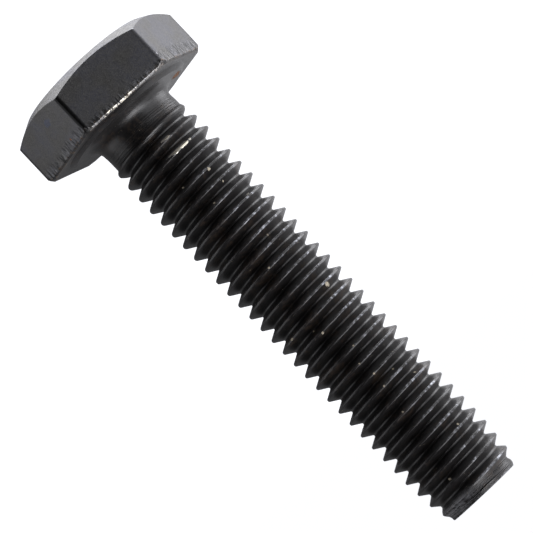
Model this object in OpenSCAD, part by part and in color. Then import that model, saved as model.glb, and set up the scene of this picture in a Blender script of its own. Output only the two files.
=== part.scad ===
// Hexagon head bolt, M8 x 1.25 x 40, threaded to the head.
// One piece: a forged head and a rolled right-hand thread on the same steel.
// Millimetres. The origin is the centre of the bearing face, and +Z runs down
// the shank towards the tip, so the bolt stands on its head.

/* [Thread] */
// Length from the bearing face to the tip, a little under the nominal 40
bolt_length = 39.8; // [15.8:1:79.8]
// Outside diameter over the thread crests
thread_d = 7.87; // [7.76:0.01:7.97]
// Distance between neighbouring crests
pitch = 1.25; // [1:0.25:1.25]
// Length over which the thread grows out of the plain neck
run_out = 1.4; // [1:0.1:3]

/* [Head] */
// Distance across two opposite flats
across_flats = 13.8; // [12.8:0.05:14]
// Height of the head, washer face included
head_height = 5.05; // [4:0.05:6]
// Diameter of the flat circle on top of the head
top_circle_d = 12.1; // [11:0.1:12.6]
// Angle of the chamfer around the top, from the top face
chamfer_angle = 30; // [15:1:35]
// Amount that the corners are trimmed at the underside
corner_trim = 0.4; // [0.1:0.05:0.7]

/* [Underside] */
// Diameter of the raised washer face
washer_face_d = 11; // [10:0.1:11.6]
// Diameter of the washer face's sloping rim where it meets the head
washer_rim_d = 12; // [11.8:0.1:12.4]
// Height of the washer face below the flats
washer_face_h = 0.3; // [0.2:0.05:0.6]
// Radius of the fillet between the bearing face and the neck
fillet_r = 0.9; // [0.4:0.1:1]
// Diameter of the plain neck, close to the pitch diameter
neck_d = 7.08; // [7.04:0.01:7.16]
// Distance from the bearing face to the start of the thread
neck_length = 1.7; // [1.6:0.1:3]

/* [Tip] */
// Diameter of the flat end face
end_face_d = 6.2; // [5.6:0.1:6.2]
// Length of the chamfer at the tip
end_chamfer = 1.2; // [0.8:0.1:1.6]
// Diameter that the crests have where the end chamfer begins
end_crest_d = 7.3; // [7:0.05:7.6]
// Number of pitches over which the crests grow to full size behind the chamfer
lead_pitches = 2.5; // [1:0.5:4]

/* [Hidden] */

STEEL = [0.16, 0.16, 0.17];
OVERLAP = 0.6;           // how far one shape runs into the next before they are joined
ROUND_SIDES = 96;        // sides of a turned shape
ARC_STEPS = 8;           // flat stretches in the fillet's quarter circle
CLEARANCE = 1;           // how far a cutting shape reaches past the corners that it trims

// Head
corner_r = across_flats / sqrt(3);
top_z = -head_height;
underside_z = -washer_face_h;
clear_r = corner_r + CLEARANCE;
chamfer_slope = tan(chamfer_angle);

// Thread: the basic ISO profile of an external thread
SEGMENTS = 24;           // columns of points around the thread
CREST_ANGLE = 108;       // where about the axis the first crest begins
TIP_STEP = 0.02;         // spacing of the points that crowd at the end face
FLANK_ANGLE = 30;        // slope of each flank, half of the thread's 60 degrees
DEPTH_SHARE = 17 / 24;   // depth of the thread in heights of the sharp V
CREST_SHARE = 1 / 8;     // width of the crest flat in pitches
CORE_INSET = 0.04;       // how far the thread's blank stays inside the neck
THREAD_GAP = 0.05;       // distance from the neck's end to the start of the helix
sharp_height = pitch * sqrt(3) / 2;
thread_depth = sharp_height * DEPTH_SHARE;
crest_flat = pitch * CREST_SHARE;
flank = thread_depth * tan(FLANK_ANGLE);
crest_r = thread_d / 2;
root_r = crest_r - thread_depth;
neck_r = neck_d / 2;
core_r = neck_r - CORE_INSET;

// Places of the profile's four corners along one pitch, and how high each stands
profile_z = [0, crest_flat, crest_flat + flank, pitch - flank];
profile_r = [crest_r, crest_r, root_r, root_r];
CORNERS = len(profile_z);

// Column of points: a ring inside the neck, the profile's corners, a ring at the tip
start_z = neck_length - OVERLAP;
first_z = neck_length + THREAD_GAP;
turns = ceil((bolt_length - first_z) / pitch);
rows = turns * CORNERS;
lead_length = lead_pitches * pitch;

// Radius that the crests may reach at height z: full, then the lead, then the chamfer
function end_limit(z) =
    let (left = bolt_length - z)
    left < end_chamfer
        ? end_face_d / 2 + left * (end_crest_d - end_face_d) / 2 / end_chamfer
        : end_crest_d / 2 + (left - end_chamfer) * (thread_d - end_crest_d) / 2 / lead_length;

// How much of the full thread stands at height z, from 0 at the neck to 1
function growth(z) = max(0, min(1, (z - first_z) / run_out));

// Height of a corner on the helix; the last few crowd just behind the end face
function corner_z(column, row) =
    let (z = first_z + pitch * (column / SEGMENTS + floor(row / CORNERS)) + profile_z[row % CORNERS])
    min(z, bolt_length - TIP_STEP * (rows - row));

function corner_radius(row, z) =
    min(core_r + (profile_r[row % CORNERS] - core_r) * growth(z), end_limit(z));

function around(column, r, z) =
    let (angle = CREST_ANGLE + column * 360 / SEGMENTS)
    [r * cos(angle), r * sin(angle), z];

function column_points(column) = [
    around(column, core_r, start_z),
    for (row = [0 : rows - 1])
        let (z = corner_z(column, row))
        around(column, corner_radius(row, z), z),
    around(column, end_face_d / 2, bolt_length)
];

// Index of a point: its place k up a column, from 0 at the neck to rows + 1 at the tip
function at(column, k) = column * (rows + 2) + k;

function side_faces() = [
    for (column = [0 : SEGMENTS - 2], k = [0 : rows])
        each [
            [at(column, k), at(column + 1, k + 1), at(column + 1, k)],
            [at(column, k), at(column, k + 1), at(column + 1, k + 1)]
        ]
];

// The last column meets the first one a whole turn further along
function seam_faces() =
    let (last = SEGMENTS - 1)
    concat(
        [for (k = [0 : CORNERS - 1]) [at(last, 0), at(0, k + 1), at(0, k)]],
        [for (k = [0 : rows - CORNERS])
            each [
                [at(last, k), at(0, k + CORNERS + 1), at(0, k + CORNERS)],
                [at(last, k), at(last, k + 1), at(0, k + CORNERS + 1)]
            ]
        ],
        [for (k = [rows - CORNERS + 1 : rows]) [at(last, k), at(last, k + 1), at(0, rows + 1)]]
    );

function cap_faces() = [
    [for (column = [0 : SEGMENTS - 1]) at(column, 0)],
    [for (column = [SEGMENTS - 1 : -1 : 0]) at(column, rows + 1)]
];

// Hexagonal prism, chamfered at the top and trimmed at the underside's corners
module head() {
    intersection() {
        translate([0, 0, top_z - OVERLAP])
            cylinder(h = head_height + 2 * OVERLAP, r = corner_r, $fn = 6);
        rotate_extrude($fn = ROUND_SIDES)
            polygon([
                [0, top_z],
                [top_circle_d / 2, top_z],
                [clear_r, top_z + (clear_r - top_circle_d / 2) * chamfer_slope],
                [clear_r, underside_z - (clear_r - corner_r) - corner_trim],
                [corner_r - corner_trim, underside_z],
                [0, underside_z]
            ]);
    }
}

// Washer face, fillet and plain neck, turned in one profile
module neck() {
    rotate_extrude($fn = ROUND_SIDES)
        polygon([
            [0, underside_z - OVERLAP],
            [washer_rim_d / 2, underside_z - OVERLAP],
            [washer_rim_d / 2, underside_z],
            [washer_face_d / 2, 0],
            for (i = [0 : ARC_STEPS])
                let (a = i * 90 / ARC_STEPS)
                [neck_r + fillet_r * (1 - sin(a)), fillet_r * (1 - cos(a))],
            [neck_r, neck_length],
            [0, neck_length]
        ]);
}

module thread() {
    polyhedron(
        points = [for (column = [0 : SEGMENTS - 1]) each column_points(column)],
        faces = concat(side_faces(), seam_faces(), cap_faces()),
        convexity = 10
    );
}

module hex_bolt() {
    color(STEEL)
        union() {
            head();
            neck();
            thread();
        }
}

hex_bolt();
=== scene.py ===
"""Looks of the M8 x 1.25 x 40 hex bolt: one closed mesh in place of the CAD node, a black oxide
material, and a plain white studio. Lengths are millimetres until they go into a mesh or a light.
The bolt stands on the top of its head, and +Z runs down its shank to the tip."""

import math

import bpy
from mathutils import Matrix, Vector, noise


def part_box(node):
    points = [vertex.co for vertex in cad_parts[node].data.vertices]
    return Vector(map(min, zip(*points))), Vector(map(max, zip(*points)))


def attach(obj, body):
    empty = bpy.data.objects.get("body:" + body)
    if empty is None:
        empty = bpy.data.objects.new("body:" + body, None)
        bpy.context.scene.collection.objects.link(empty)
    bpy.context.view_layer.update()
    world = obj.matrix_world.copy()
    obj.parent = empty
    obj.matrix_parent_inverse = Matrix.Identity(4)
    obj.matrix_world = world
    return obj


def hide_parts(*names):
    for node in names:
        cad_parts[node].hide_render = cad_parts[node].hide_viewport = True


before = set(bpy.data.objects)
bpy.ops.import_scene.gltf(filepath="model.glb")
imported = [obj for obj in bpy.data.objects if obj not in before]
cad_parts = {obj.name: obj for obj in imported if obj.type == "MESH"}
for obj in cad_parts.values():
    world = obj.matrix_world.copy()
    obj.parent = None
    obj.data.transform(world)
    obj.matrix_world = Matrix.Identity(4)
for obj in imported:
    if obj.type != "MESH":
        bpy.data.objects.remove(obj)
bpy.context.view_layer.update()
low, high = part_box("hex_bolt")

MM = 0.001
HALF_SIDE = math.radians(30)      # angle at the axis from the middle of a flat to a corner

# Head: the frame gives its top and its flats
TOP_Z = low.z / MM
APOTHEM = (high.y - low.y) / 2 / MM
SHARP_CORNER_R = APOTHEM / math.cos(HALF_SIDE)
CORNER_ROUND = 0.26
TOP_CIRCLE_R = 5.97
CHAMFER_SLOPE = math.tan(math.radians(30))
CORNER_TRIM = 0.4
EDGE_BREAK = 0.15
UNDERSIDE_Z = -0.3
WASHER_RIM_R = 6.0
WASHER_R = 5.5
HEAD_OFFSET = 0.1                 # the forged head sits a little off the shank's axis, towards +X

# Underside, neck and thread
FILLET_R = 0.9
NECK_R = 3.54
NECK_END = 1.7
PITCH = 1.25
CREST_R = 3.935
DEPTH_SHARE = 0.74                # depth of the thread in heights of the sharp V
THREAD_DEPTH = PITCH * math.sqrt(3) / 2 * DEPTH_SHARE
ROOT_R = CREST_R - THREAD_DEPTH
CREST_FLAT = PITCH / 8
FLANK = THREAD_DEPTH * math.tan(math.radians(30))
CREST_ROUND = 0.09
ROOT_ROUND = 0.13
CREST_ANGLE = math.radians(108)   # where about the axis the first crest begins
START_Z = 1.79                    # height of the first crest there
CREST_RUN_OUT = 1.1               # length scale over which the crests rise out of the neck
ROOT_RUN_OUT = 0.9                # length over which the roots sink into it

# Tip
TIP_Z = high.z / MM
END_FACE_R = 3.1
END_CHAMFER = 1.2
END_CREST_R = 3.66
LEAD = 3.2                        # length over which the crests grow behind the end chamfer

# Wear of the head, in order of angle from +X: corner 0 points there and flat 0 comes after it
TEAR_WIDTHS = (0.7, 0.9, 0.8, 1.4, 0.65, 1.1)     # torn band on each flat, next to the underside
EDGE_WEAR = (0.5, 0.6, 0.5, 0.3, 1.0, 0.35)       # how worn the edges of each flat are
CORNER_SHADE = (0.8, 0.6, 0.9, 0.5, 0.3, 1.0)      # painted shade on the rounding of each corner: how dark it is
TOP_WEAR = 0.5                    # wear of the edges round the top, in shares of the lower ones
LOWER_EDGES = 0.7                 # an edge nearer to the underside than this is a lower one
UNDERSIDE_OIL = 0.85

# Torn bands: how uneven their width is, and their grooves
TEAR_UNEVEN = 0.3                 # how much the width varies along a flat, as a share of it
UNEVEN_SIZE = 0.8                 # how far apart its wide places are
TEAR_FULL = 0.6                   # share of the width over which the grooves are at full depth
TEAR_BASE = 0.02                  # depth of the band without its grooves
TEAR_DEPTH = 0.05                 # how far the grooves rise and fall from there
FINE_GROOVE = 0.13                # widths of the grooves
COARSE_GROOVE = 0.5
COARSE_SHARE = 0.5                # depth of the coarse grooves, as a share of the fine ones
GROOVE_STRETCH = 5                # how much longer than wide the grooves are
FLAT_SHIFTS = (7.0, 5.0, 3.0)     # steps of each noise from flat to flat, so that no two match

# Distances at which a mask begins and at which it is full
EDGE_REACH = (0.22, 0.1)          # from a corner of the head's outline that stands proud
GROOVE_REACH = (0.3, 0.12)        # from the groove round the washer face, where shade is painted
CREST_REACH = (0.1, 0.02)         # below the crest of the thread
CORNER_REACH = (28.0, 28.6)       # round from the middle of a flat, degrees, for the painted shade on the corners
OIL_REACH = 0.1                   # from the underside, over which its oil fades out on the sides
FILLET_OIL = (0.1, 0.6)           # where the oil thickens, in shares of the fillet's arc
SIDE_MARGIN = 0.03                # how far inside the hexagon a point still counts as on its side

# Dents along the crests
DENT_DEPTH = 0.05
DENT_SIZE = 1.1
DENT_FLOOR = 0.15                 # noise below this leaves no dent

# Vertices: columns around the axis, of which every third carries on down the shank
SECTOR_COLUMNS = 64
HEAD_COLUMNS = 6 * SECTOR_COLUMNS
THIN_OUT = 3
SHANK_COLUMNS = HEAD_COLUMNS // THIN_OUT
CROWDING = 0.65                   # how strongly the columns crowd towards the hexagon's corners

# Vertices: rings on the top of the head, on the underside, on the neck and on the end face
TOP_RINGS = (1.2, 2.4, 3.6, 4.8)
RIM_R = 5.35                      # where the fine columns start on top of the head
SEAT_R = 5.1                      # where they end on the washer face
SHANK_SEAT_R = 4.95               # where the shank's columns take over
FILLET_STEPS = 10
NECK_RINGS = (1.0, 1.15, 1.3, 1.45)
END_RINGS = (2.9, 2.0, 1.0)
TIP_STEP = 0.004                  # spacing of the rows that crowd at the end face

# Outlines: the radius at each corner, and the steps along each straight stretch between them
HEAD_RADII = (0.9, 0.10, 0.10, 0.08, 0.06, 0.10)
HEAD_SPLITS = (3, 5, 22, 1, 3, 1, 3)
THREAD_RADII = (CREST_ROUND, CREST_ROUND, ROOT_ROUND, ROOT_ROUND)
THREAD_SPLITS = (1, 1, 2, 1, 1)
HEAD_ARC_STEPS = 4
THREAD_ARC_STEPS = 3
ARC_ROOM = 0.45                   # share of a straight stretch that the arc at its end may take
LEAST_TURN = 0.02                 # a straighter corner than this would make an endless radius


def smooth(edge0, edge1, x):
    """0 on edge0's side, 1 on edge1's side, and an S curve between."""
    t = max(0.0, min(1.0, (x - edge0) / (edge1 - edge0)))
    return t * t * (3 - 2 * t)


def wobble(x, y, z, size):
    """Smooth noise from -1 to 1 with features about size across."""
    return noise.noise(Vector((x / size, y / size, z / size)))


def column_angle(i):
    """Angle of column i: six sectors from corner to corner, with columns closest at the corners."""
    sector, step = divmod(i, SECTOR_COLUMNS)
    t = 2 * step / SECTOR_COLUMNS - 1
    side = 1 - abs(t)
    crowded = (1 - CROWDING) * side + CROWDING * side * side
    within = 30 + math.copysign(30 * (1 - crowded), t)
    return math.radians(60 * sector + within)


HEAD_ANGLES = [column_angle(i) for i in range(HEAD_COLUMNS)]
SHANK_ANGLES = HEAD_ANGLES[::THIN_OUT]


def corner_arc(before, here, after, radius, steps):
    """An arc that rounds the corner at here, made smaller if the stretches beside it are short."""
    into, out = (here - before).normalized(), (after - here).normalized()
    turn = max(LEAST_TURN, math.acos(max(-1.0, min(1.0, into.dot(out)))))
    room = ARC_ROOM * min((here - before).length, (after - here).length)
    reach = min(radius * math.tan(turn / 2), room)
    side = (out - into).normalized()
    centre = here + side * (reach / math.tan(turn / 2) / math.cos(turn / 2))
    first = (here - into * reach) - centre
    last = (here + out * reach) - centre
    arc = []
    for k in range(steps + 1):
        t = k / steps
        spoke = (first * math.sin((1 - t) * turn) + last * math.sin(t * turn)) / math.sin(turn)
        arc.append(centre + spoke)
    return arc


def rounded_path(corners, radii, splits, arc_steps):
    """A polyline in the (radius, height) plane with an arc at each inner corner, and each straight
    stretch cut into its number of splits. Every call with the same counts gives as many points."""
    corners = [Vector(corner) for corner in corners]
    arcs = [
        corner_arc(*corners[i:i + 3], radius, arc_steps)
        for i, radius in enumerate(radii)
    ]
    points = []
    position = corners[0]
    for i, count in enumerate(splits):
        end = arcs[i][0] if i < len(arcs) else corners[-1]
        for k in range(count):
            points.append(position.lerp(end, k / count))
        if i < len(arcs):
            points += arcs[i][:-1]
            position = arcs[i][-1]
    return points + [corners[-1]]


def on_hexagon(angle):
    """Number of the flat in this direction, and degrees from the middle of that flat."""
    flat, within = divmod(math.degrees(angle), 60)
    return int(flat), within - 30


def hexagon_radius(angle):
    """Distance from the axis to the rounded hexagon in this direction. Corners point along +X."""
    phi = math.radians(abs(on_hexagon(angle)[1]))
    inner = APOTHEM - CORNER_ROUND
    tangent = math.atan(inner * math.tan(HALF_SIDE) / APOTHEM)
    if phi <= tangent:
        return APOTHEM / math.cos(phi)
    psi = HALF_SIDE - phi
    centre = inner / math.cos(HALF_SIDE)
    return centre * math.cos(psi) + math.sqrt(CORNER_ROUND ** 2 - (centre * math.sin(psi)) ** 2)


def head_path(angle):
    """One column of the head, from its top, down a chamfer and a flat, to the washer face. Also the
    corners of that path that stand proud and wear, and the one at the groove, where shade is painted."""
    r = hexagon_radius(angle)
    trim = max(EDGE_BREAK, r - (SHARP_CORNER_R - CORNER_TRIM))
    corners = [
        (RIM_R, TOP_Z),
        (TOP_CIRCLE_R, TOP_Z),
        (r, TOP_Z + (r - TOP_CIRCLE_R) * CHAMFER_SLOPE),
        (r, UNDERSIDE_Z - trim),
        (r - trim, UNDERSIDE_Z),
        (WASHER_RIM_R, UNDERSIDE_Z),
        (WASHER_R, 0.0),
        (SEAT_R, 0.0),
    ]
    proud = [Vector(corners[i]) for i in (1, 2, 3, 4)]
    groove = Vector(corners[5])
    return rounded_path(corners, HEAD_RADII, HEAD_SPLITS, HEAD_ARC_STEPS), proud, groove


def tear_marks(angle, z):
    """How far the trimming die has torn a flat inwards near the underside, and its share there."""
    flat, from_middle = on_hexagon(angle)
    across = APOTHEM * math.tan(math.radians(from_middle))
    from_edge = UNDERSIDE_Z - z
    uneven = wobble(across, FLAT_SHIFTS[0] * flat, 0.0, UNEVEN_SIZE)
    width = TEAR_WIDTHS[flat] * (1 + TEAR_UNEVEN * uneven)
    share = smooth(width, TEAR_FULL * width, from_edge)
    fine = wobble(across, FLAT_SHIFTS[1] * flat, from_edge / GROOVE_STRETCH, FINE_GROOVE)
    coarse = wobble(across, FLAT_SHIFTS[2] * flat, from_edge / GROOVE_STRETCH, COARSE_GROOVE)
    grooves = fine + COARSE_SHARE * coarse
    return share * max(0.0, TEAR_BASE + TEAR_DEPTH * grooves), share


def thread_profile():
    """One pitch of the thread as (height, radius) points, crest first, with rounded corners."""
    middle_r = (CREST_R + ROOT_R) / 2
    corners = [
        (-FLANK / 2, middle_r),
        (0.0, CREST_R),
        (CREST_FLAT, CREST_R),
        (CREST_FLAT + FLANK, ROOT_R),
        (PITCH - FLANK, ROOT_R),
        (PITCH - FLANK / 2, middle_r),
    ]
    return rounded_path(corners, THREAD_RADII, THREAD_SPLITS, THREAD_ARC_STEPS)[:-1]


PROFILE = thread_profile()
TURNS = math.ceil((TIP_Z - START_Z) / PITCH)
ROWS = TURNS * len(PROFILE)


def crest_limit(z):
    """Radius of the crests near the tip: the end chamfer, then the lead behind it."""
    left = TIP_Z - z
    if left < END_CHAMFER:
        return END_FACE_R + left * (END_CREST_R - END_FACE_R) / END_CHAMFER
    return min(CREST_R, END_CREST_R + (left - END_CHAMFER) * (CREST_R - END_CREST_R) / LEAD)


def growth(radius, z):
    """How much of the thread stands at height z. The crests rise out of the neck more slowly than
    the roots sink into it."""
    if radius > NECK_R:
        return 1 - math.exp(-max(0.0, z - NECK_END) / CREST_RUN_OUT)
    return smooth(NECK_END, NECK_END + ROOT_RUN_OUT, z)


def thread_point(column, row):
    """Radius, height and crest share of a point on the helix, which grows out of the neck and
    gets shallower towards the tip."""
    turned = (SHANK_ANGLES[column] - CREST_ANGLE) / (2 * math.pi)
    turn, corner = divmod(row, len(PROFILE))
    lift, radius = PROFILE[corner]
    z = START_Z + PITCH * (turn + turned % 1.0) + lift
    z = min(z, TIP_Z - TIP_STEP * (ROWS - row))
    crest = smooth(CREST_R - CREST_REACH[0], CREST_R - CREST_REACH[1], radius)
    grown = growth(radius, z)
    radius = NECK_R + (radius - NECK_R) * grown
    limit = crest_limit(z)
    left = max(0.0, (limit - ROOT_R) / (CREST_R - ROOT_R))
    return min(limit, ROOT_R + (radius - ROOT_R) * left), z, crest * grown


# Masks from 0 to 1 at each vertex: oily surface, torn band, burrs along it, painted shade on the
# corners' rounding, worn edge, painted shade in the groove, and crest of the thread
MASKS = ("oil", "torn", "burr", "corner", "edge", "groove", "crest")


class Skin:
    """Vertices, faces and per-vertex masks of the mesh as it is built."""

    def __init__(self):
        self.points = []
        self.faces = []
        self.masks = []

    def add(self, angle, r, z, **masks):
        """Adds a vertex. The head's offset from the axis fades out along the neck."""
        x, y = r * math.cos(angle), r * math.sin(angle)
        share = smooth(NECK_END, 0.0, z)
        self.points.append(((x + share * HEAD_OFFSET) * MM, y * MM, z * MM))
        self.masks.append(masks)
        return len(self.points) - 1

    def ring(self, angles, r, z, **masks):
        return [self.add(angle, r, z, **masks) for angle in angles]

    def join(self, ring_a, ring_b):
        """Quads between two rings of as many vertices; ring_b is further along the surface path."""
        count = len(ring_a)
        for i in range(count):
            j = (i + 1) % count
            self.faces.append((ring_a[i], ring_a[j], ring_b[j], ring_b[i]))

    def extend(self, ring, angles, r, z, **masks):
        """Adds a ring, joins the one before to it, and returns the new one."""
        added = self.ring(angles, r, z, **masks)
        self.join(ring, added)
        return added

    def thin(self, fine, coarse, outwards):
        """Joins a fine ring to one with every third of its columns."""
        count = len(coarse)
        for i in range(count):
            a, b = coarse[i], coarse[(i + 1) % count]
            run = [fine[(i * THIN_OUT + k) % len(fine)] for k in range(THIN_OUT + 1)]
            fan = [(run[0], run[1], a), (run[1], run[2], b, a), (run[2], run[3], b)]
            for face in fan:
                self.faces.append(face if outwards else tuple(reversed(face)))

    def close(self, ring, centre, outwards):
        """A fan from a ring to a point on the axis."""
        count = len(ring)
        for i in range(count):
            face = (ring[i], ring[(i + 1) % count], centre)
            self.faces.append(face if outwards else tuple(reversed(face)))


def add_top(skin):
    """Top of the head, from the axis outwards. Returns its last ring."""
    centre = skin.add(0.0, 0.0, TOP_Z)
    ring = skin.ring(SHANK_ANGLES, TOP_RINGS[0], TOP_Z)
    skin.close(ring, centre, outwards=False)
    for r in TOP_RINGS[1:]:
        ring = skin.extend(ring, SHANK_ANGLES, r, TOP_Z)
    return ring


def add_head_vertex(skin, angle, point, proud, groove):
    """A vertex of the head's outline at this angle, torn inwards on a flat, with its wear."""
    r, z = point
    on_side = r > hexagon_radius(angle) - SIDE_MARGIN
    depth, share = tear_marks(angle, z) if on_side else (0.0, 0.0)
    flat, from_middle = on_hexagon(angle)
    corner = round(math.degrees(angle) / 60) % 6
    nearest = min((point - other).length for other in proud)
    edge_share = 1.0 if z > UNDERSIDE_Z - LOWER_EDGES else TOP_WEAR
    # The corner and groove masks carry painted shade: on the corners' roundings and in the groove round
    # the washer face
    return skin.add(
        angle, r - depth, z,
        torn=share,
        burr=share * EDGE_WEAR[flat],
        edge=smooth(*EDGE_REACH, nearest) * EDGE_WEAR[flat] * edge_share,
        groove=smooth(*GROOVE_REACH, (point - groove).length),
        corner=on_side * CORNER_SHADE[corner] * smooth(*CORNER_REACH, abs(from_middle)),
        oil=UNDERSIDE_OIL * smooth(UNDERSIDE_Z - OIL_REACH, UNDERSIDE_Z, z),
    )


def add_head(skin, ring):
    """Chamfer, flats and underside of the head, round to the washer face. Returns its last ring."""
    paths = [head_path(angle) for angle in HEAD_ANGLES]
    rings = []
    for row in range(len(paths[0][0])):
        rings.append([
            add_head_vertex(skin, angle, path[row], proud, groove)
            for angle, (path, proud, groove) in zip(HEAD_ANGLES, paths)
        ])
    skin.thin(rings[0], ring, outwards=False)
    for inner, outer in zip(rings, rings[1:]):
        skin.join(inner, outer)
    return rings[-1]


def add_neck(skin, ring):
    """Washer face, fillet and plain neck. Returns the ring that the thread starts from."""
    seat = skin.ring(SHANK_ANGLES, SHANK_SEAT_R, 0.0, oil=UNDERSIDE_OIL)
    skin.thin(ring, seat, outwards=True)
    ring = seat
    for k in range(FILLET_STEPS + 1):
        along = k / FILLET_STEPS
        bend = math.pi / 2 * along
        r = NECK_R + FILLET_R * (1 - math.sin(bend))
        z = FILLET_R * (1 - math.cos(bend))
        oil = UNDERSIDE_OIL + (1 - UNDERSIDE_OIL) * smooth(*FILLET_OIL, along)
        ring = skin.extend(ring, SHANK_ANGLES, r, z, oil=oil)
    for z in NECK_RINGS:
        ring = skin.extend(ring, SHANK_ANGLES, NECK_R, z, oil=1.0)
    return ring


def helix_order():
    """The shank's columns in the order of the helix, from the one where the first crest begins."""
    first = next(i for i, angle in enumerate(SHANK_ANGLES) if angle >= CREST_ANGLE)
    return [(first + i) % SHANK_COLUMNS for i in range(SHANK_COLUMNS)]


HELIX_ORDER = helix_order()


def add_thread(skin, ring):
    """The helix, in columns that all hold the same rows. Returns the ring round the end face."""
    columns = []
    for column in HELIX_ORDER:
        angle = SHANK_ANGLES[column]
        ids = [ring[column]]
        for row in range(ROWS):
            r, z, crest = thread_point(column, row)
            dent = DENT_DEPTH * crest * max(0.0, wobble(r * angle, z, 0.0, DENT_SIZE) - DENT_FLOOR)
            ids.append(skin.add(angle, r - dent, z, oil=1.0, crest=crest))
        ids.append(skin.add(angle, END_FACE_R, TIP_Z, oil=1.0))
        columns.append(ids)
    for left, right in zip(columns, columns[1:]):
        for k in range(ROWS + 1):
            skin.faces.append((left[k], right[k], right[k + 1], left[k + 1]))

    # The last column meets the first one a whole pitch further along
    last, start, step = columns[-1], columns[0], len(PROFILE)
    for k in range(step):
        skin.faces.append((last[0], start[k], start[k + 1]))
    for k in range(ROWS + 1 - step):
        skin.faces.append((last[k], start[k + step], start[k + step + 1], last[k + 1]))
    for k in range(ROWS + 1 - step, ROWS + 1):
        skin.faces.append((last[k], start[ROWS + 1], last[k + 1]))
    return [ids[-1] for ids in columns]


def add_end_face(skin, ring):
    angles = [SHANK_ANGLES[column] for column in HELIX_ORDER]
    for r in END_RINGS:
        ring = skin.extend(ring, angles, r, TIP_Z, oil=1.0)
    skin.close(ring, skin.add(0.0, 0.0, TIP_Z, oil=1.0), outwards=True)


def build_bolt():
    skin = Skin()
    ring = add_top(skin)
    ring = add_head(skin, ring)
    ring = add_neck(skin, ring)
    ring = add_thread(skin, ring)
    add_end_face(skin, ring)
    return skin


def mesh_object(name, skin):
    mesh = bpy.data.meshes.new(name)
    mesh.from_pydata(skin.points, [], skin.faces)
    for mask in MASKS:
        layer = mesh.attributes.new(mask, "FLOAT", "POINT")
        layer.data.foreach_set("value", [masks.get(mask, 0.0) for masks in skin.masks])
    mesh.shade_smooth()
    mesh.validate()
    mesh.update()
    piece = bpy.data.objects.new(name, mesh)
    bpy.context.scene.collection.objects.link(piece)
    return piece


class Shade:
    """A material's node tree, with short calls for the few kinds of node used here."""

    def __init__(self, name):
        self.material = bpy.data.materials.new(name)
        self.material.use_nodes = True
        self.tree = self.material.node_tree
        self.shader = self.tree.nodes["Principled BSDF"]
        metres = self.add("ShaderNodeTexCoord").outputs["Object"]
        self.place = self.vector("MULTIPLY", metres, (1 / MM, 1 / MM, 1 / MM))

    def add(self, kind, **settings):
        node = self.tree.nodes.new(kind)
        for key, value in settings.items():
            setattr(node, key, value)
        return node

    def put(self, socket, value):
        """Links an output to a socket, or sets the socket to a number or colour."""
        if isinstance(value, bpy.types.NodeSocket):
            self.tree.links.new(value, socket)
        else:
            socket.default_value = value

    def vector(self, operation, a, b):
        node = self.add("ShaderNodeVectorMath", operation=operation)
        self.put(node.inputs[0], a)
        self.put(node.inputs[1], b)
        return node.outputs["Value" if operation == "LENGTH" else "Vector"]

    def math(self, operation, a, b):
        node = self.add("ShaderNodeMath", operation=operation)
        self.put(node.inputs[0], a)
        self.put(node.inputs[1], b)
        return node.outputs[0]

    def plus(self, a, b):
        return self.math("ADD", a, b)

    def minus(self, a, b):
        return self.math("SUBTRACT", a, b)

    def times(self, a, b):
        return self.math("MULTIPLY", a, b)

    def step(self, value, start, end):
        """0 at start, 1 at end, smooth between, whichever of the two is larger."""
        node = self.add("ShaderNodeMapRange", interpolation_type="SMOOTHSTEP")
        ends = (0.0, 1.0) if start < end else (1.0, 0.0)
        for socket, number in zip(node.inputs, (value, min(start, end), max(start, end), *ends)):
            self.put(socket, number)
        return node.outputs["Result"]

    def mix(self, share, a, b):
        """A colour between a and b. The node's colour sockets are numbers 6 and 7."""
        node = self.add("ShaderNodeMix", data_type="RGBA")
        self.put(node.inputs["Factor"], share)
        self.put(node.inputs[6], a)
        self.put(node.inputs[7], b)
        return node.outputs[2]

    def blend(self, share, a, b):
        """A number between a and b. The node's number sockets are numbers 2 and 3."""
        node = self.add("ShaderNodeMix", data_type="FLOAT")
        self.put(node.inputs["Factor"], share)
        self.put(node.inputs[2], a)
        self.put(node.inputs[3], b)
        return node.outputs[0]

    def noise(self, x_size, y_size=None, z_size=None):
        """Noise around 0.5 with features of these sizes in millimetres."""
        node = self.add("ShaderNodeTexNoise")
        sizes = (x_size, y_size or x_size, z_size or x_size)
        self.put(node.inputs["Vector"], self.vector("DIVIDE", self.place, sizes))
        node.inputs["Scale"].default_value = 1.0
        node.inputs["Detail"].default_value = 2.0
        return node.outputs["Fac"]

    def spot(self, centre, sizes, ragged):
        """1 inside a ragged ellipsoid around centre and 0 outside. ragged is noise around 0.5, so
        the outline is on average between 0.8 and 1.1 of the half sizes."""
        offset = self.vector("DIVIDE", self.vector("SUBTRACT", self.place, centre), sizes)
        reach = self.vector("LENGTH", offset, (0, 0, 0))
        torn = self.plus(reach, self.times(ragged, RAGGEDNESS))
        return self.step(torn, 1.1 + RAGGEDNESS / 2, 0.8 + RAGGEDNESS / 2)

    def either(self, masks):
        """The largest of several masks."""
        result = masks[0]
        for mask in masks[1:]:
            result = self.math("MAXIMUM", result, mask)
        return result

    def bump(self, height, depth, under):
        """Relief of the given depth in millimetres, on top of another bump if there is one."""
        node = self.add("ShaderNodeBump")
        node.inputs["Distance"].default_value = depth * MM
        self.put(node.inputs["Height"], height)
        if under is not None:
            self.put(node.inputs["Normal"], under)
        return node.outputs["Normal"]

    def mask(self, name):
        return self.add("ShaderNodeAttribute", attribute_name=name).outputs["Fac"]


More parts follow.
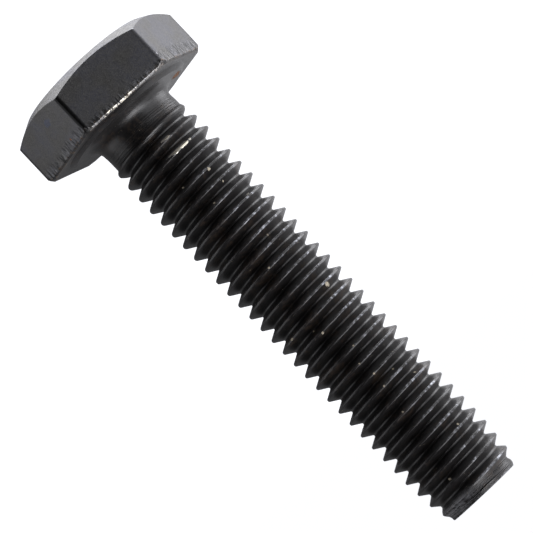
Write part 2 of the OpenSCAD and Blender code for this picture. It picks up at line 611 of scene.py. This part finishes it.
# Marks at their places on the bolt: centre and half sizes
RAGGEDNESS = 1.6                  # how far noise moves a mark's outline, in half sizes
BRIGHT_CRESTS = (
    ((-0.66, -3.77, 4.73), (1.15, 0.6, 0.24)),
    ((-0.35, -3.80, 3.53), (0.50, 0.4, 0.16)),
    ((-2.10, -3.07, 10.8), (0.30, 0.3, 0.14)),
)
RUST = (
    ((-4.85, -0.5, 0.0), (0.45, 0.75, 0.3)),
    ((5.10, -5.00, -1.09), (0.13, 0.13, 0.13)),
)
BLUING = (
    ((5.50, -4.34, -3.29), (0.45, 0.45, 0.3)),
)
# Partly real struck edge, partly painted glint: the front flat's lower edge is bright metal here
STRUCK_EDGES_AND_GLINT = (
    ((0.70, -6.90, -0.40), (1.4, 0.4, 0.4)),
)
NICKS = (
    ((-3.90, -6.84, -4.05), (0.09, 0.09, 0.18)),
    ((-3.95, -6.83, -1.30), (0.09, 0.09, 0.10)),
)

# Specks of dust on the front of the shank: place across, height and half size
DUST = (
    (1.2, 7.2, 0.08), (-1.2, 7.5, 0.12), (-1.4, 8.9, 0.07), (0.3, 9.7, 0.08), (-1.1, 14.2, 0.08),
    (0.7, 16.2, 0.08), (-1.8, 20.1, 0.17), (3.0, 21.3, 0.11), (1.4, 22.0, 0.07), (1.1, 22.6, 0.09),
    (0.1, 24.9, 0.07), (0.7, 26.2, 0.07), (0.4, 27.5, 0.08), (-1.0, 28.2, 0.08), (0.5, 28.7, 0.07),
    (-2.1, 29.5, 0.08), (0.8, 31.1, 0.08), (-1.7, 34.6, 0.09), (1.6, 37.2, 0.10),
)
DUST_REACH = 4                    # how far behind the foremost crest a speck may lie

# Colours of the oxide, the dirt and the metal
WARM_GREY = (0.112, 0.109, 0.104, 1)
COOL_GREY = (0.117, 0.119, 0.137, 1)
LIGHT_GREY = (0.165, 0.161, 0.155, 1)
BLUE_STAIN = (0.08, 0.11, 0.22, 1)
TORN_GREY = (0.05, 0.05, 0.05, 1)
# Painted shade for the corners' roundings and the groove round the washer face
PAINTED_SHADE = (0.02, 0.02, 0.02, 1)
OIL_BLACK = (0.007, 0.006, 0.006, 1)
OIL_BROWN = (0.024, 0.016, 0.011, 1)
# Crest colours: a painted highlight on the side towards the key light, partly real polish
DULL_CREST = (0.15, 0.155, 0.17, 1)
POLISHED_CREST_HIGHLIGHT = (0.38, 0.39, 0.42, 1)
DUST_COLOUR = (0.52, 0.46, 0.35, 1)
BROWNED_EDGE = (0.15, 0.115, 0.085, 1)
DARK_RUST = (0.02, 0.014, 0.008, 1)
ORANGE_RUST = (0.38, 0.15, 0.05, 1)
BARE_STEEL = (0.50, 0.50, 0.53, 1)
# Bright gold steel: real wear on the crests, partly a painted glint on the front flat's lower edge
STRUCK_STEEL_AND_GLINT = (0.90, 0.84, 0.70, 1)

# Roughness
HEAD_ROUGHNESS = 0.46
OILY_ROUGHNESS = 0.36
CREST_ROUGHNESS = 0.27
TIP_ROUGHNESS = 0.38
DUSTY_ROUGHNESS = 0.8
METAL_ROUGHNESS = 0.28
ROUGHNESS_SPREAD = 0.25           # how much noise varies it

OXIDE_METALLIC = 0.9
OXIDE_IOR = 1.65


class BlackOxide(Shade):
    """Black oxide: matte grey on the head, near black and oily on the thread, worn to metal on the
    crests and along the head's edges. Painted highlights lie along the crests on the lit side and
    along the front flat's lower edge, and painted shade on the corners' roundings and in the groove."""

    def __init__(self):
        super().__init__("black_oxide")
        masks = [self.mask(name) for name in MASKS]
        self.oil, self.torn, self.burr, self.corner, self.edge, self.groove, self.crest = masks
        axes = self.add("ShaderNodeSeparateXYZ")
        self.put(axes.inputs[0], self.place)
        self.x, self.z = axes.outputs["X"], axes.outputs["Z"]
        self.patches = self.noise(2.2)
        self.mottle = self.noise(0.3)
        self.grain = self.noise(0.09)
        self.strokes = self.noise(0.2, 0.2, 0.9)
        self.turning = self.noise(5, 5, 0.12)
        self.near_tip = self.step(self.z, TIP_Z - 1.5, TIP_Z - 0.7)
        # The side towards the key light, where the crests get their painted highlight
        self.lit_side = self.step(self.x, 0.9, -1.2)
        self.rust = self.spots(RUST)
        self.dust = self.dust_mask()
        self.polish_and_highlight = self.polish_and_highlight_mask()
        self.worn, self.struck_and_glint = self.metal_masks()
        self.put(self.shader.inputs["Base Color"], self.colour())
        self.put(self.shader.inputs["Metallic"], self.metallic())
        self.put(self.shader.inputs["Roughness"], self.roughness())
        self.put(self.shader.inputs["Normal"], self.relief())
        self.shader.inputs["IOR"].default_value = OXIDE_IOR

    def spots(self, marks):
        return self.either([self.spot(centre, sizes, self.mottle) for centre, sizes in marks])

    def dust_mask(self):
        """Specks at their places, and more that noise strews over the oily parts."""
        placed = [
            self.spot((x, -CREST_R, z), (size, DUST_REACH, size), self.grain)
            for x, z, size in DUST
        ]
        strewn = self.times(self.step(self.grain, 0.70, 0.76), self.step(self.noise(1.3), 0.52, 0.6))
        return self.either(placed + [self.times(strewn, self.oil)])

    def polish_and_highlight_mask(self):
        """Painted highlight, partly real polish: streaks along the crests, mostly in the bands where X
        is between about -1 and -3, on the lit side.
        """
        highlight_streaks = self.step(self.times(self.crest, self.plus(self.mottle, self.patches)), 0.88, 1.25)
        highlight_streaks = self.times(highlight_streaks, self.blend(self.lit_side, 0.06, 1.0))
        return self.times(highlight_streaks, self.blend(self.step(self.x, -3.2, -2.4), 0.08, 1.0))

    def metal_masks(self):
        """Where metal is bare, and where it is bright as well; along the front flat's lower edge the
        bright metal is partly a painted glint.
        """
        edges = self.step(self.times(self.edge, self.noise(0.2)), 0.36, 0.56)
        # Painted glint, partly real wear: the edges' metal is at full strength only at the struck spot
        edges = self.times(edges, self.blend(self.spots(STRUCK_EDGES_AND_GLINT), 0.3, 1.0))
        scuffs = self.times(self.near_tip, self.step(self.x, 0.2, 2.4))
        scuffs = self.times(scuffs, self.step(self.plus(self.turning, self.mottle), 0.85, 1.15))
        burrs = self.times(self.burr, self.step(self.noise(0.15, 0.15, 0.5), 0.5, 0.6))
        crests = self.times(self.spots(BRIGHT_CRESTS), self.step(self.crest, 0.1, 0.6))
        shares = ((edges, 0.9), (scuffs, 0.3), (burrs, 0.45), (self.spots(NICKS), 0.5), (crests, 1.0))
        worn = self.either([self.times(mask, share) for mask, share in shares])
        return worn, self.either([crests, edges])

    def head_colour(self):
        colour = self.mix(self.step(self.patches, 0.35, 0.65), WARM_GREY, COOL_GREY)
        colour = self.mix(self.step(self.grain, 0.3, 0.8), colour, LIGHT_GREY)
        colour = self.mix(self.times(self.spots(BLUING), 0.3), colour, BLUE_STAIN)
        colour = self.mix(self.times(self.torn, self.step(self.strokes, 0.45, 0.6)), colour, TORN_GREY)
        # Painted shade: the corners' roundings and the groove round the washer face are darkened
        return self.mix(self.either([self.corner, self.groove]), colour, PAINTED_SHADE)

    def thread_colour(self):
        return self.mix(self.step(self.plus(self.patches, self.mottle), 1.0, 1.3), OIL_BLACK, OIL_BROWN)

    def colour(self):
        colour = self.mix(self.oil, self.head_colour(), self.thread_colour())
        # Painted highlight along the crests on the lit side, partly real polish
        crests = self.mix(self.step(self.mottle, 0.45, 0.70), DULL_CREST, POLISHED_CREST_HIGHLIGHT)
        colour = self.mix(self.polish_and_highlight, colour, crests)
        colour = self.mix(self.dust, colour, DUST_COLOUR)
        browned = self.times(self.step(self.mottle, 0.45, 0.75), self.step(self.z, -1.0, -0.6))
        browned = self.times(browned, self.step(self.edge, 0.1, 0.3))
        colour = self.mix(browned, colour, BROWNED_EDGE)
        rust = self.mix(self.step(self.grain, 0.45, 0.6), DARK_RUST, ORANGE_RUST)
        colour = self.mix(self.rust, colour, rust)
        # Bare and bright metal; the gold on the front flat's lower edge is partly a painted glint
        return self.mix(self.worn, colour, self.mix(self.struck_and_glint, BARE_STEEL, STRUCK_STEEL_AND_GLINT))

    def metallic(self):
        # Oil, dust and rust cover the oxide, and the painted shade in the groove is kept from being
        # metallic too
        covered = self.either([self.oil, self.groove, self.dust, self.rust])
        oxide = self.times(self.minus(1.0, covered), OXIDE_METALLIC)
        return self.either([oxide, self.worn, self.polish_and_highlight])

    def roughness(self):
        smoother = self.either([self.oil, self.corner, self.groove])
        rough = self.blend(smoother, HEAD_ROUGHNESS, OILY_ROUGHNESS)
        rough = self.blend(self.times(self.crest, self.lit_side), rough, CREST_ROUGHNESS)
        rough = self.blend(self.near_tip, rough, TIP_ROUGHNESS)
        rough = self.plus(rough, self.times(self.minus(self.mottle, 0.5), ROUGHNESS_SPREAD))
        rough = self.blend(self.either([self.dust, self.rust]), rough, DUSTY_ROUGHNESS)
        return self.blend(self.worn, rough, METAL_ROUGHNESS)

    def relief(self):
        """Bumps on top of one another, each with its depth: grain, rings where the thread starts,
        rolling marks, turning marks at the tip, and the wear of the head's edges and torn bands."""
        thread_start = self.times(self.step(self.z, 1.1, 1.5), self.step(self.z, 3.4, 2.2))
        bumps = (
            (self.grain, 0.006),
            (self.times(self.noise(5, 5, 0.1), thread_start), 0.06),
            (self.times(self.noise(1.5, 1.5, 0.08), self.oil), 0.012),
            (self.times(self.turning, self.near_tip), 0.2),
            (self.times(self.mottle, self.edge), 0.04),
            (self.times(self.strokes, self.torn), 0.03),
        )
        normal = None
        for height, depth in bumps:
            normal = self.bump(height, depth, normal)
        return normal


# Light cards on a sphere round the bolt: degrees round to the left from the camera's side, degrees
# above the horizon, and brightness. The white room behind them is 1. Later cards stand in front.
# Each is placed for the parts of the bolt that mirror it towards the camera.
CARDS = (
    ((90, 130), (-90, 25), 3.2),
    ((130, 150), (-90, 25), 0.75),
    ((150, 200), (-90, 25), 0.75),
    ((90, 200), (25, 90), 0.7),
    ((35, 90), (-90, 90), 0.4),
    ((20, 35), (-90, 90), 0.1),
    ((35, 90), (-70, -25), 1.0),
    ((-5, 20), (-90, 90), 0.05),
    ((-60, -5), (-90, 90), 0.03),
    ((-140, -60), (12, 90), 0.06),
    ((-160, -110), (-60, 12), 2.7),
    ((-110, -60), (-60, 12), 0.85),
    ((-180, -140), (-20, 60), 0.45),
    ((140, 220), (-90, -30), 3.2),
    ((35, 85), (-14, 8), 1.35),
    ((30, 75), (14, 38), 2.1),
    ((0, 55), (38, 75), 5.0),
)
CARD_REACH = 600                  # distance of the first card from the origin
CARD_GAP = 5                      # how much nearer each later card is
CARD_STEPS = 12
LIGHT_COLOUR = (0.985, 0.99, 1.03, 1)
ROOM_COLOUR = (1.0, 1.005, 1.04, 1)

# Dark flag, upright behind the bolt and hidden from the camera
FLAG_X = (-3, 60)
FLAG_Y = 22
FLAG_Z = (-30, 60)
FLAG_GLOW = 0.18

# Floor, just below the bolt so that the two do not share a plane, and seen only by the camera
FLOOR_SIDE = 2000
FLOOR_Z = TOP_Z - 0.05
FLOOR_GLOW = 1.2

# Camera: level with the thread's last third, a little to the right of one flat, and rolled so
# that the tip points to the lower right
CAMERA_AZIMUTH = math.radians(7.7)
CAMERA_REACH = 230.92
CAMERA_ASIDE = 0.24
CAMERA_HEIGHT = 33.84
CAMERA_PITCH = math.radians(-4.493)
CAMERA_ROLL = math.radians(136.67)
LENS = 202.6
SENSOR_WIDTH = 36


def glow(name, strength):
    material = bpy.data.materials.new(name)
    material.use_nodes = True
    tree = material.node_tree
    tree.nodes.clear()
    emission = tree.nodes.new("ShaderNodeEmission")
    emission.inputs["Color"].default_value = LIGHT_COLOUR
    emission.inputs["Strength"].default_value = strength
    output = tree.nodes.new("ShaderNodeOutputMaterial")
    tree.links.new(emission.outputs["Emission"], output.inputs["Surface"])
    return material


def add_stage(name, points, faces, strength):
    mesh = bpy.data.meshes.new(name)
    mesh.from_pydata([tuple(c * MM for c in point) for point in points], [], faces)
    mesh.materials.append(glow(name, strength))
    item = bpy.data.objects.new(name, mesh)
    bpy.context.scene.collection.objects.link(item)
    return item


def add_card(number, left, above, strength):
    """A glowing patch of a sphere between two angles to the left and two above the horizon."""
    reach = CARD_REACH - CARD_GAP * number
    points = []
    for i in range(CARD_STEPS + 1):
        up = math.radians(above[0] + (above[1] - above[0]) * i / CARD_STEPS)
        for j in range(CARD_STEPS + 1):
            aside = math.radians(left[0] + (left[1] - left[0]) * j / CARD_STEPS)
            turn = CAMERA_AZIMUTH - math.pi / 2 - aside
            points.append((
                reach * math.cos(up) * math.cos(turn),
                reach * math.cos(up) * math.sin(turn),
                reach * math.sin(up),
            ))
    row = CARD_STEPS + 1
    faces = [(k, k + 1, k + row + 1, k + row) for k in range(row * CARD_STEPS) if k % row < CARD_STEPS]
    card = add_stage(f"card_{number}", points, faces, strength)
    card.visible_camera = False


def add_flag():
    (x0, x1), (z0, z1) = FLAG_X, FLAG_Z
    corners = [(x0, FLAG_Y, z0), (x1, FLAG_Y, z0), (x1, FLAG_Y, z1), (x0, FLAG_Y, z1)]
    flag = add_stage("flag", corners, [(0, 1, 2, 3)], FLAG_GLOW)
    flag.visible_camera = False


def add_floor():
    signs = ((-1, -1), (1, -1), (1, 1), (-1, 1))
    corners = [(x * FLOOR_SIDE, y * FLOOR_SIDE, FLOOR_Z) for x, y in signs]
    floor = add_stage("floor", corners, [(0, 1, 2, 3)], FLOOR_GLOW)
    floor.visible_diffuse = False
    floor.visible_glossy = False
    floor.visible_shadow = False


def studio():
    scene = bpy.context.scene
    scene.view_settings.view_transform = "Standard"
    scene.world = bpy.data.worlds.new("white_room")
    scene.world.use_nodes = True
    background = scene.world.node_tree.nodes["Background"]
    background.inputs["Color"].default_value = ROOM_COLOUR
    for number, (left, above, strength) in enumerate(CARDS):
        add_card(number, left, above, strength)
    add_flag()
    add_floor()


def add_camera():
    data = bpy.data.cameras.new("camera")
    data.lens = LENS
    data.sensor_width = SENSOR_WIDTH
    data.clip_start = 0.01
    data.clip_end = 20
    camera = bpy.data.objects.new("camera", data)
    bpy.context.scene.collection.objects.link(camera)
    around = Matrix.Rotation(CAMERA_AZIMUTH, 4, "Z")
    place = Matrix.Translation(Vector((CAMERA_ASIDE, -CAMERA_REACH, CAMERA_HEIGHT)) * MM)
    level = Matrix.Rotation(math.pi / 2 + CAMERA_PITCH, 4, "X")
    camera.matrix_world = around @ place @ level @ Matrix.Rotation(CAMERA_ROLL, 4, "Z")
    bpy.context.scene.camera = camera


bolt = mesh_object("hex_bolt_visual", build_bolt())
bolt.data.materials.append(BlackOxide().material)
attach(bolt, "root")
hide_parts("hex_bolt")
studio()
add_camera()
